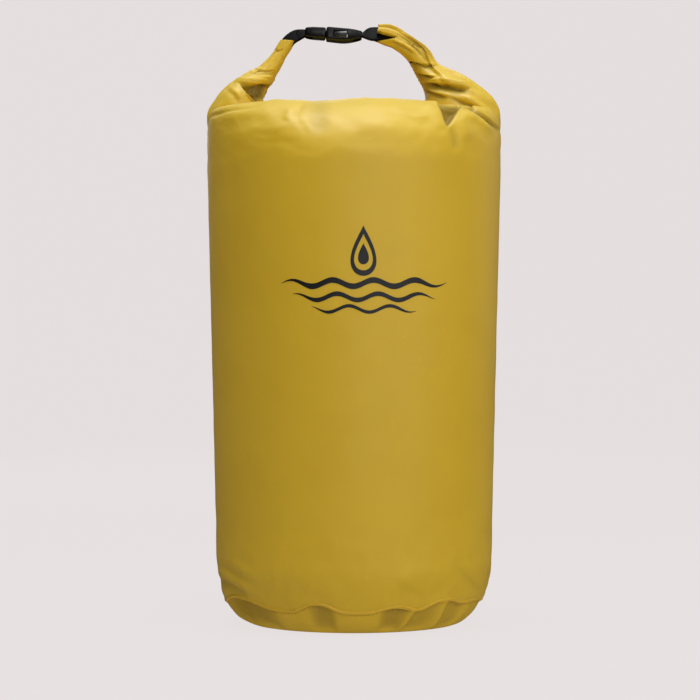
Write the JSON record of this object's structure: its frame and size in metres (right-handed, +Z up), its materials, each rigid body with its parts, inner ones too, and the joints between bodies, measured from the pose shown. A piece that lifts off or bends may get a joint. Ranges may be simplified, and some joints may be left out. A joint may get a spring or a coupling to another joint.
{
  "type": "stuff sack",
  "caption": "Roll-top waterproof stuff sack of coated fabric, filled and closed, with its rolled mouth bent up and clipped by a side-release buckle into a carry loop.",
  "frame": {"origin": "centre of the base, on the floor the filled sack stands on", "axes": "+Z up along the sack, -Y out of the printed front, +X to the viewer's right when facing the front"},
  "size_m": [0.278, 0.2791, 0.5649],
  "materials": {
    "coated_fabric": "satin coated ripstop-weight nylon, ochre yellow",
    "seam_thread": "ochre seam with matching thread",
    "seam_tape": "translucent welded seam tape",
    "stiffener": "plain polyethylene strip",
    "webbing": "black woven polyamide webbing",
    "tack_thread": "black bar-tack stitching",
    "buckle_plastic": "black moulded acetal"
  },
  "bodies": {
    "sack": {"base_panel": "coated_fabric", "base_seam": "seam_thread", "base_seam_tape": "seam_tape", "body_panel": "coated_fabric", "side_seam": "seam_thread", "side_seam_tape": "seam_tape"},
    "crown": {"shoulder_panel": "coated_fabric"},
    "roll": {"closure_roll": "coated_fabric", "closure_stiffener": "stiffener"},
    "left_end": {"closure_roll_left": "coated_fabric", "stiffener_left": "stiffener"},
    "left_tab": {"webbing_left": "webbing", "bartack_left": "tack_thread", "buckle_plug": "buckle_plastic"},
    "arm_front": {"release_arm_front": "buckle_plastic"},
    "arm_rear": {"release_arm_rear": "buckle_plastic"},
    "right_end": {"closure_roll_right": "coated_fabric", "stiffener_right": "stiffener"},
    "right_tab": {"webbing_right": "webbing", "bartack_right": "tack_thread", "buckle_socket": "buckle_plastic"}
  },
  "joints": [
    {"name": "sack_compress", "type": "slide", "parent": "sack", "child": "crown", "axis": [0, 0, -1], "range_m": [0, 0.08], "stiffness_N_per_m": 300, "deforming": ["body_panel", "side_seam", "side_seam_tape"]},
    {"name": "handle_tilt", "type": "hinge", "parent": "crown", "child": "roll", "pos_m": [0, 0, 0.485], "axis": [1, 0, 0], "range_deg": [-20, 20], "stiffness_Nm_per_rad": 0.1},
    {"name": "handle_open", "type": "hinge", "parent": "roll", "child": "left_end", "pos_m": [-0.09978, 0, 0.49761], "axis": [0, -1, 0], "range_deg": [0, 50], "deforming": ["release_arm_front", "release_arm_rear"]},
    {"name": "right_end_open", "type": "hinge", "parent": "roll", "child": "right_end", "pos_m": [0.06985, 0, 0.48941], "axis": [0, 1, 0], "range_deg": [0, 50]},
    {"name": "left_tab_bend", "type": "hinge", "parent": "left_end", "child": "left_tab", "pos_m": [-0.059, 0, 0.5517], "axis": [0, 1, 0], "range_deg": [0, 50]},
    {"name": "right_tab_bend", "type": "hinge", "parent": "right_end", "child": "right_tab", "pos_m": [0.041, 0, 0.5507], "axis": [0, -1, 0], "range_deg": [0, 50]},
    {"name": "arm_pinch", "type": "hinge", "parent": "left_tab", "child": "arm_front", "pos_m": [-0.02607, -0.0102, 0.55838], "axis": [0.1028, 0, 0.9947], "range_deg": [0, 7.5], "stiffness_Nm_per_rad": 0.002},
    {"name": "arm_pinch_rear", "type": "hinge", "parent": "left_tab", "child": "arm_rear", "pos_m": [-0.02607, 0.0102, 0.55838], "axis": [-0.1028, 0, -0.9947], "range_deg": [0, 7.5], "stiffness_Nm_per_rad": 0.002}
  ],
  "couplings": [
    {"joint": "right_end_open", "follows": "handle_open", "ratio": 1},
    {"joint": "left_tab_bend", "follows": "handle_open", "ratio": 1},
    {"joint": "right_tab_bend", "follows": "handle_open", "ratio": 1},
    {"joint": "arm_pinch_rear", "follows": "arm_pinch", "ratio": 1}
  ]
}
